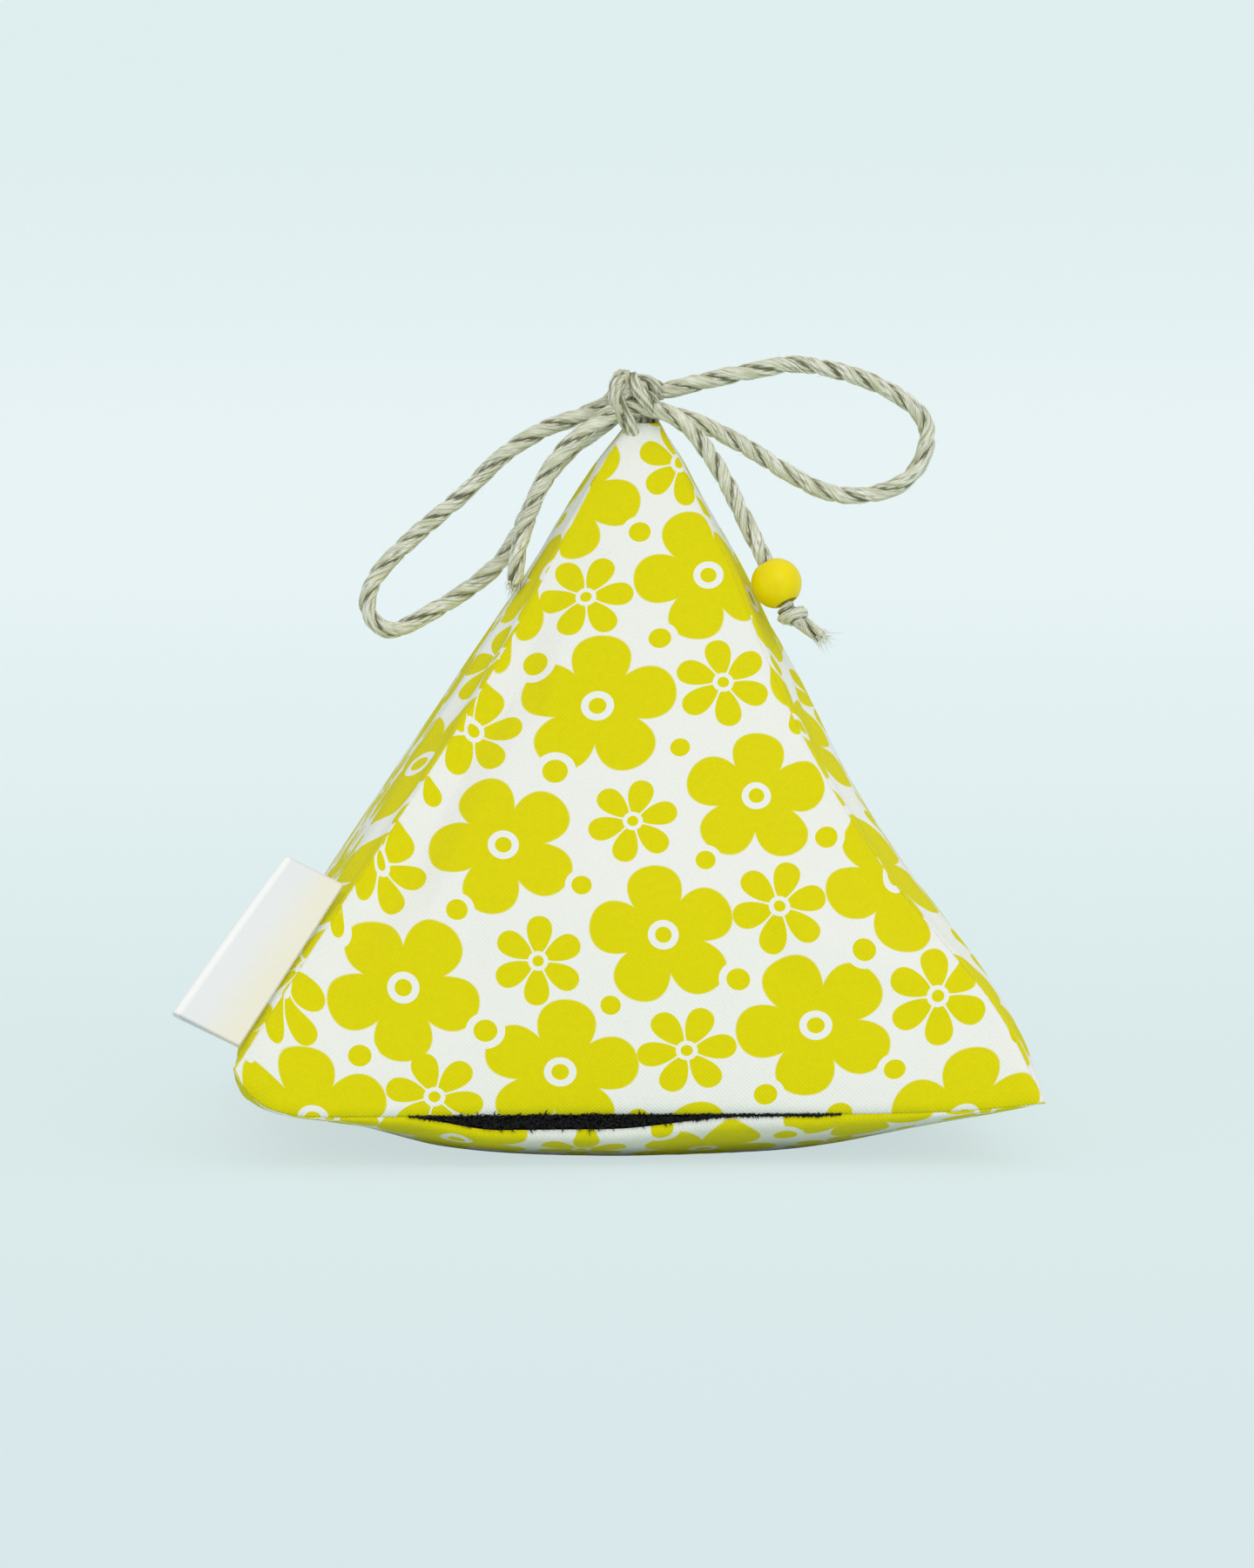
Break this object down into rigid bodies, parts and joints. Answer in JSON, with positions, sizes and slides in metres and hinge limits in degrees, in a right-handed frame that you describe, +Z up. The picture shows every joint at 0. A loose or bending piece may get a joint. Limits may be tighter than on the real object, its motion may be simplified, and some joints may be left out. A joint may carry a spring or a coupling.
{
  "type": "lavender sachet",
  "caption": "Puffed pyramid sachet of printed cotton with a refill mouth in its base seam, a ribbon label and a twine bow with a wooden bead.",
  "frame": {"origin": "middle of the flat patch of the base panel that the sachet rests on", "axes": "+Z up towards the tied tip, front panel with the refill mouth at -Y, +X to the viewer's right"},
  "size_m": [0.1316, 0.1236, 0.1228],
  "materials": {
    "printed_cotton": "white cotton with a solid yellow print",
    "closure_strip": "black hook and loop pile",
    "sewing_thread": "matte thread",
    "muslin": "unbleached muslin",
    "dried_lavender": "loose dried flower buds",
    "satin_ribbon": "soft satin ribbon",
    "twine": "twisted natural fibre",
    "painted_bead": "gloss yellow paint"
  },
  "bodies": {
    "bag": {"front_panel": "printed_cotton", "right_panel": "printed_cotton", "back_panel": "printed_cotton", "left_panel": "printed_cotton", "base_panel": "printed_cotton", "loop_strip": "closure_strip", "hook_strip": "closure_strip", "front_left_seam_thread": "sewing_thread", "front_right_seam_thread": "sewing_thread", "back_right_seam_thread": "sewing_thread", "back_left_seam_thread": "sewing_thread", "base_seam_thread": "sewing_thread", "inner_pouch": "muslin", "pouch_tie": "sewing_thread", "lavender_filling": "dried_lavender", "front_leg": "twine", "rear_leg": "twine", "bow_knot": "twine"},
    "label": {"ribbon_label": "satin_ribbon"},
    "left_bow_loop": {"left_loop": "twine"},
    "right_bow_loop": {"right_loop": "twine"},
    "plain_tail": {"left_tail": "twine"},
    "beaded_tail": {"right_tail": "twine", "end_knot": "twine"},
    "tail_bead": {"bead": "painted_bead"}
  },
  "joints": [
    {"name": "label_fold", "type": "hinge", "parent": "bag", "child": "label", "pos_m": [-0.05979, -0.05824, 0.01906], "axis": [0.4919, 0.4919, 0.7183], "range_deg": [-50, 70], "stiffness_Nm_per_rad": 0.0005},
    {"name": "left_loop_swing", "type": "hinge", "parent": "bag", "child": "left_bow_loop", "pos_m": [0.0026, -0.001, 0.1163], "axis": [0, 1, 0], "range_deg": [-4, 40], "stiffness_Nm_per_rad": 0.004},
    {"name": "right_loop_swing", "type": "hinge", "parent": "bag", "child": "right_bow_loop", "pos_m": [0.0026, -0.001, 0.1163], "axis": [0, -1, 0], "range_deg": [-3, 35], "stiffness_Nm_per_rad": 0.004},
    {"name": "plain_tail_swing", "type": "hinge", "parent": "bag", "child": "plain_tail", "pos_m": [0.0026, -0.001, 0.1163], "axis": [-1, 0, 0], "range_deg": [0, 75]},
    {"name": "beaded_tail_swing", "type": "hinge", "parent": "bag", "child": "beaded_tail", "pos_m": [0.0026, -0.001, 0.1163], "axis": [-1, 0, 0], "range_deg": [0, 75]},
    {"name": "bead_slide", "type": "slide", "parent": "beaded_tail", "child": "tail_bead", "axis": [-0.4251, 0.2421, 0.8722], "range_m": [0, 0.01]}
  ]
}
